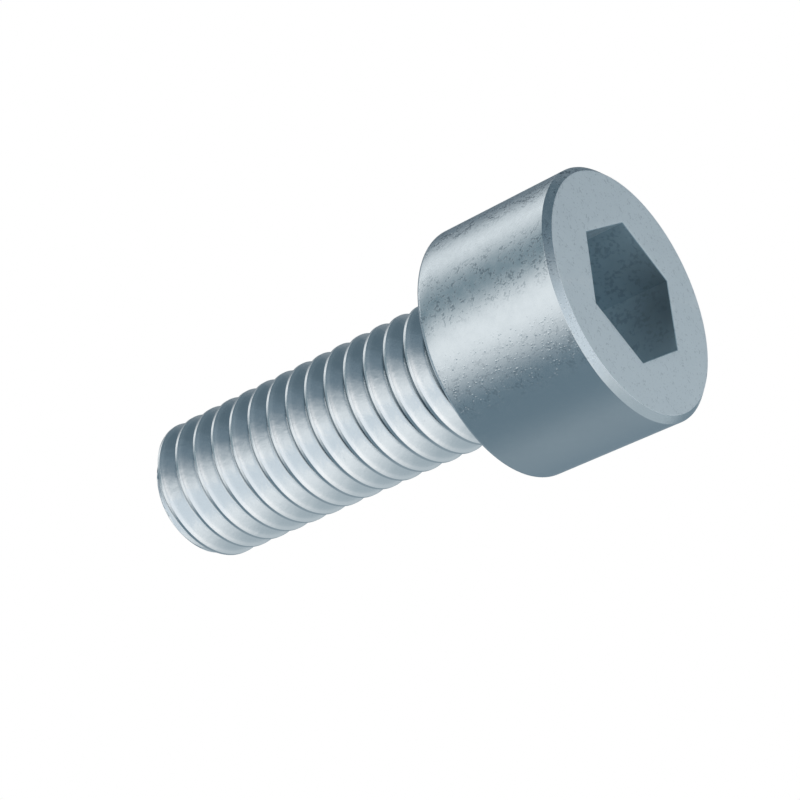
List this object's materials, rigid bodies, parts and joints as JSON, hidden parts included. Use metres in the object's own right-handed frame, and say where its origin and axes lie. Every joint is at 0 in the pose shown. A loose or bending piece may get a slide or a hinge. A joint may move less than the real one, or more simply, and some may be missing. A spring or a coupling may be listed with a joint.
{
  "type": "socket head cap screw",
  "caption": "Zinc-plated steel socket head cap screw with a cylindrical head, a hexagon socket and a metric thread along its whole shank.",
  "frame": {"origin": "centre of the head's socket face, on the screw's axis", "axes": "+Z along the axis from the head to the threaded tip, +X through one corner of the hexagon socket; the screw stands on its head"},
  "size_m": [0.01, 0.01, 0.022],
  "materials": {
    "zinc_plated_steel": "bright blue-white zinc plating on forged steel, satin on the head's face and glossy on the thread"
  },
  "bodies": {
    "root": {"cap_screw": "zinc_plated_steel"}
  },
  "joints": []
}
